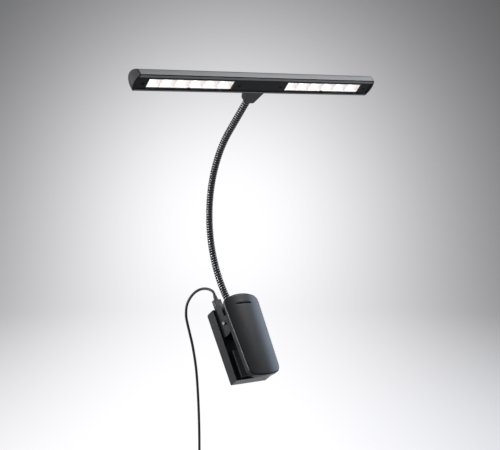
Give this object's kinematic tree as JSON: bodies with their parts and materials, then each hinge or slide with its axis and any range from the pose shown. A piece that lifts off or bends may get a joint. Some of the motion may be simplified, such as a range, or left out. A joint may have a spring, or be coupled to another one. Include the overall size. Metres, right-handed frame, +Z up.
{
  "type": "clip-on music stand light",
  "caption": "Light bar with lamp windows on a bendable ridged neck, carried by a spring clip with a battery housing and a charging cord.",
  "frame": {"origin": "middle of the rear jaw pad's gripping face", "axes": "+X along the light bar to the right as seen by the reader, +Y away from the reader, +Z up; the clip leans back as on a leaning board"},
  "size_m": [0.269, 0.1031, 0.4596],
  "materials": {
    "bar_shell": "satin",
    "cap_plastic": "satin",
    "face_black": "matte",
    "window_clear": "gloss",
    "tray_white": "gloss",
    "board_green": "satin",
    "board_white": "satin",
    "lamp_chip": "gloss",
    "screw_black": "satin",
    "steel": "satin",
    "neck_metal": "satin",
    "bracket_plastic": "satin",
    "clip_plastic": "satin",
    "button_plastic": "satin",
    "pad_rubber": "matte",
    "cell_can": "satin",
    "contact_brass": "satin",
    "lead_black": "matte",
    "cord_black": "satin",
    "plug_black": "satin",
    "tie_black": "satin"
  },
  "bodies": {
    "clip": {"rear_housing": "clip_plastic", "hinge_block": "clip_plastic", "rear_cover": "clip_plastic", "cover_screws": "steel", "control_board": "board_green", "usb_socket": "steel", "tact_switch": "steel", "battery_cells": "cell_can", "battery_contacts": "contact_brass", "clip_leads": "lead_black", "neck_ferrule": "neck_metal", "ferrule_nut": "steel", "rear_jaw_pad": "pad_rubber", "hinge_pin": "steel", "jaw_spring": "steel", "plug_shell": "steel", "plug_grip": "plug_black", "plug_relief": "cord_black", "charging_cord": "cord_black", "cord_coil": "cord_black", "coil_tie": "tie_black", "end_plug_grip": "plug_black", "end_plug_shell": "steel"},
    "jaw": {"front_jaw": "clip_plastic", "front_jaw_pad": "pad_rubber"},
    "button": {"switch_button": "button_plastic"},
    "door": {"battery_door": "clip_plastic"},
    "link_01": {"neck_link_01": "neck_metal"},
    "link_02": {"neck_link_02": "neck_metal"},
    "link_03": {"neck_link_03": "neck_metal"},
    "link_04": {"neck_link_04": "neck_metal"},
    "link_05": {"neck_link_05": "neck_metal"},
    "link_06": {"neck_link_06": "neck_metal"},
    "link_07": {"neck_link_07": "neck_metal"},
    "link_08": {"neck_link_08": "neck_metal"},
    "link_09": {"neck_link_09": "neck_metal"},
    "link_10": {"neck_link_10": "neck_metal"},
    "head": {"head_ferrule": "steel", "neck_bracket": "bracket_plastic", "bracket_screws": "steel", "head_shell": "bar_shell", "end_cap_left": "cap_plastic", "end_cap_right": "cap_plastic", "face_plate": "face_black", "face_screws": "screw_black", "lens_left": "window_clear", "lens_right": "window_clear", "reflector_left": "tray_white", "reflector_right": "tray_white", "lamp_board_left": "board_white", "lamp_board_right": "board_white", "lamp_chips_left": "lamp_chip", "lamp_chips_right": "lamp_chip", "head_lead": "lead_black"}
  },
  "joints": [
    {"name": "jaw_hinge", "type": "hinge", "parent": "clip", "child": "jaw", "pos_m": [0, 0.01596, 0.0368], "axis": [-1, 0, 0], "range_deg": [-11, 20], "stiffness_Nm_per_rad": 1, "springref_deg": -28.65, "deforming": ["jaw_spring"]},
    {"name": "switch_press", "type": "slide", "parent": "clip", "child": "button", "axis": [0, -0.8339, 0.5519], "range_m": [0, 0.0008], "stiffness_N_per_m": 600, "springref_m": -0.0008},
    {"name": "door_slide", "type": "slide", "parent": "clip", "child": "door", "axis": [0, -0.5519, -0.8339], "range_m": [0, 0.048]},
    {"name": "neck_bend_01", "type": "hinge", "parent": "clip", "child": "link_01", "pos_m": [0, 0.03422, 0.0517], "axis": [1, 0, 0], "range_deg": [-15, 15]},
    {"name": "neck_bend_02", "type": "hinge", "parent": "link_01", "child": "link_02", "pos_m": [0, 0.04892, 0.069], "axis": [0, -0.873, 0.4878], "range_deg": [-15, 15]},
    {"name": "neck_bend_03", "type": "hinge", "parent": "link_02", "child": "link_03", "pos_m": [0, 0.05999, 0.08882], "axis": [1, 0, 0], "range_deg": [-15, 15]},
    {"name": "neck_bend_04", "type": "hinge", "parent": "link_03", "child": "link_04", "pos_m": [0, 0.06702, 0.1104], "axis": [0, -0.9928, 0.1197], "range_deg": [-15, 15]},
    {"name": "neck_bend_05", "type": "hinge", "parent": "link_04", "child": "link_05", "pos_m": [0, 0.06973, 0.13294], "axis": [1, 0, 0], "range_deg": [-15, 15]},
    {"name": "neck_bend_06", "type": "hinge", "parent": "link_05", "child": "link_06", "pos_m": [0, 0.06804, 0.15557], "axis": [0, -0.9639, -0.2663], "range_deg": [-15, 15]},
    {"name": "neck_bend_07", "type": "hinge", "parent": "link_06", "child": "link_07", "pos_m": [0, 0.06199, 0.17746], "axis": [1, 0, 0], "range_deg": [-15, 15]},
    {"name": "neck_bend_08", "type": "hinge", "parent": "link_07", "child": "link_08", "pos_m": [0, 0.05183, 0.19775], "axis": [0, -0.7905, -0.6124], "range_deg": [-15, 15]},
    {"name": "neck_bend_09", "type": "hinge", "parent": "link_08", "child": "link_09", "pos_m": [0, 0.03792, 0.2157], "axis": [1, 0, 0], "range_deg": [-15, 15]},
    {"name": "neck_bend_10", "type": "hinge", "parent": "link_09", "child": "link_10", "pos_m": [0, 0.02159, 0.23147], "axis": [0, -0.6947, -0.7193], "range_deg": [-15, 15]},
    {"name": "neck_bend_11", "type": "hinge", "parent": "link_10", "child": "head", "pos_m": [0, 0.00527, 0.24723], "axis": [1, 0, 0], "range_deg": [-15, 15]}
  ]
}
